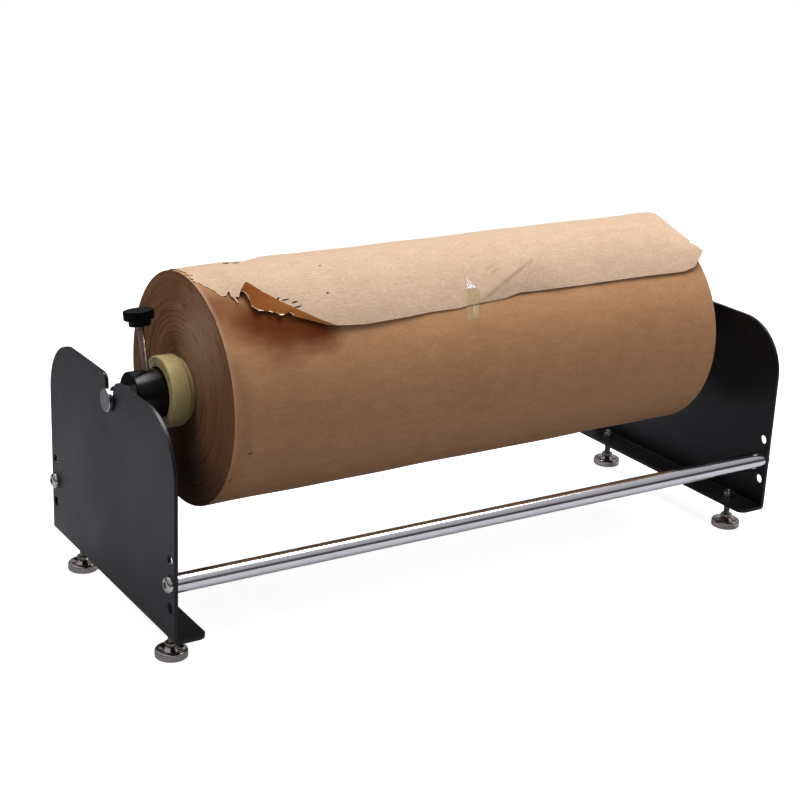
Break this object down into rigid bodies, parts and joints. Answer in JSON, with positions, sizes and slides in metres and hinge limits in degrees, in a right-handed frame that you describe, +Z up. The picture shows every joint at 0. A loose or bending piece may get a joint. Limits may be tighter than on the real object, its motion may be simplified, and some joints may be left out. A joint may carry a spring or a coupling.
{
  "type": "tabletop paper roll stand",
  "caption": "Tabletop stand for a roll of wrapping paper: folded side plates joined by tie rods, a lift-out roll shaft with core plugs and lock collars, and levelling feet.",
  "frame": {"origin": "on the floor, midway between the two side plates and between their front and rear edges", "axes": "+X along the roll shaft, +Y towards the rear, +Z up; the front, where the paper is drawn off, faces -Y"},
  "size_m": [0.6288, 0.256, 0.2918],
  "materials": {
    "black_powder_coat": "satin",
    "chromed_rod": "polished",
    "bright_shaft": "ground",
    "zinc_steel": "zinc plated",
    "polished_foot": "polished",
    "black_collar": "satin",
    "black_plastic": "satin",
    "cream_plastic": "satin",
    "core_board": "matt",
    "kraft_paper": "matt",
    "clear_tape": "gloss"
  },
  "bodies": {
    "stand": {"side_plate_left": "black_powder_coat", "side_plate_right": "black_powder_coat", "front_tie_rod": "chromed_rod", "rear_tie_rod": "chromed_rod", "rod_screw_front_left": "zinc_steel", "rod_screw_front_right": "zinc_steel", "rod_screw_rear_left": "zinc_steel", "rod_screw_rear_right": "zinc_steel", "foot_nut_front_left": "zinc_steel", "foot_nut_front_right": "zinc_steel", "foot_nut_rear_left": "zinc_steel", "foot_nut_rear_right": "zinc_steel"},
    "shaft": {"roll_shaft": "bright_shaft"},
    "roll": {"core_plug_left": "cream_plastic", "core_plug_right": "cream_plastic", "paper_core": "core_board", "paper_roll": "kraft_paper", "outer_lap": "kraft_paper", "tape_strip": "clear_tape"},
    "collar_left": {"lock_collar_left": "black_collar"},
    "thumb_stud_left": {"thumb_screw_stud_left": "zinc_steel"},
    "thumb_knob_left": {"thumb_screw_knob_left": "black_plastic"},
    "collar_right": {"lock_collar_right": "black_collar"},
    "thumb_stud_right": {"thumb_screw_stud_right": "zinc_steel"},
    "thumb_knob_right": {"thumb_screw_knob_right": "black_plastic"},
    "foot_front_left": {"foot_pad_front_left": "polished_foot"},
    "stud_front_left": {"foot_stud_front_left": "zinc_steel"},
    "foot_front_right": {"foot_pad_front_right": "polished_foot"},
    "stud_front_right": {"foot_stud_front_right": "zinc_steel"},
    "foot_rear_left": {"foot_pad_rear_left": "polished_foot"},
    "stud_rear_left": {"foot_stud_rear_left": "zinc_steel"},
    "foot_rear_right": {"foot_pad_rear_right": "polished_foot"},
    "stud_rear_right": {"foot_stud_rear_right": "zinc_steel"}
  },
  "joints": [
    {"name": "shaft_lift", "type": "slide", "parent": "stand", "child": "shaft", "axis": [0, 0, 1], "range_m": [0, 0.05]},
    {"name": "roll_spin", "type": "hinge", "parent": "shaft", "child": "roll", "pos_m": [0.003, -0.004, 0.191], "axis": [1, 0, 0], "continuous": true},
    {"name": "collar_left_slide", "type": "slide", "parent": "shaft", "child": "collar_left", "axis": [-1, 0, 0], "range_m": [0, 0.0125]},
    {"name": "thumb_left_travel", "type": "slide", "parent": "collar_left", "child": "thumb_stud_left", "axis": [-0.0691, 0.1392, 0.9879], "range_m": [0, 0.003]},
    {"name": "thumb_left_turn", "type": "hinge", "parent": "thumb_stud_left", "child": "thumb_knob_left", "pos_m": [-0.2753, -0.004, 0.191], "axis": [-0.0691, 0.1392, 0.9879], "range_deg": [0, 1080]},
    {"name": "collar_right_slide", "type": "slide", "parent": "shaft", "child": "collar_right", "axis": [1, 0, 0], "range_m": [0, 0.0065]},
    {"name": "thumb_right_travel", "type": "slide", "parent": "collar_right", "child": "thumb_stud_right", "axis": [0.0691, 0.1392, 0.9879], "range_m": [0, 0.003]},
    {"name": "thumb_right_turn", "type": "hinge", "parent": "thumb_stud_right", "child": "thumb_knob_right", "pos_m": [0.2813, -0.004, 0.191], "axis": [0.0691, 0.1392, 0.9879], "range_deg": [0, 1080]},
    {"name": "foot_front_left_height", "type": "slide", "parent": "stand", "child": "foot_front_left", "axis": [0, 0, 1], "range_m": [-0.004, 0.012]},
    {"name": "foot_front_left_turn", "type": "hinge", "parent": "foot_front_left", "child": "stud_front_left", "pos_m": [-0.2967, -0.093, 0], "axis": [0, 0, 1], "range_deg": [-1440, 4320]},
    {"name": "foot_front_right_height", "type": "slide", "parent": "stand", "child": "foot_front_right", "axis": [0, 0, 1], "range_m": [-0.004, 0.012]},
    {"name": "foot_front_right_turn", "type": "hinge", "parent": "foot_front_right", "child": "stud_front_right", "pos_m": [0.2967, -0.093, 0], "axis": [0, 0, 1], "range_deg": [-1440, 4320]},
    {"name": "foot_rear_left_height", "type": "slide", "parent": "stand", "child": "foot_rear_left", "axis": [0, 0, 1], "range_m": [-0.004, 0.012]},
    {"name": "foot_rear_left_turn", "type": "hinge", "parent": "foot_rear_left", "child": "stud_rear_left", "pos_m": [-0.2967, 0.093, 0], "axis": [0, 0, 1], "range_deg": [-1440, 4320]},
    {"name": "foot_rear_right_height", "type": "slide", "parent": "stand", "child": "foot_rear_right", "axis": [0, 0, 1], "range_m": [-0.004, 0.012]},
    {"name": "foot_rear_right_turn", "type": "hinge", "parent": "foot_rear_right", "child": "stud_rear_right", "pos_m": [0.2967, 0.093, 0], "axis": [0, 0, 1], "range_deg": [-1440, 4320]}
  ],
  "couplings": [
    {"joint": "thumb_left_turn", "follows": "thumb_left_travel", "rad_per_m": 6283.2},
    {"joint": "thumb_right_turn", "follows": "thumb_right_travel", "rad_per_m": 6283.2},
    {"joint": "foot_front_left_turn", "follows": "foot_front_left_height", "rad_per_m": 6283.2},
    {"joint": "foot_front_right_turn", "follows": "foot_front_right_height", "rad_per_m": 6283.2},
    {"joint": "foot_rear_left_turn", "follows": "foot_rear_left_height", "rad_per_m": 6283.2},
    {"joint": "foot_rear_right_turn", "follows": "foot_rear_right_height", "rad_per_m": 6283.2}
  ]
}
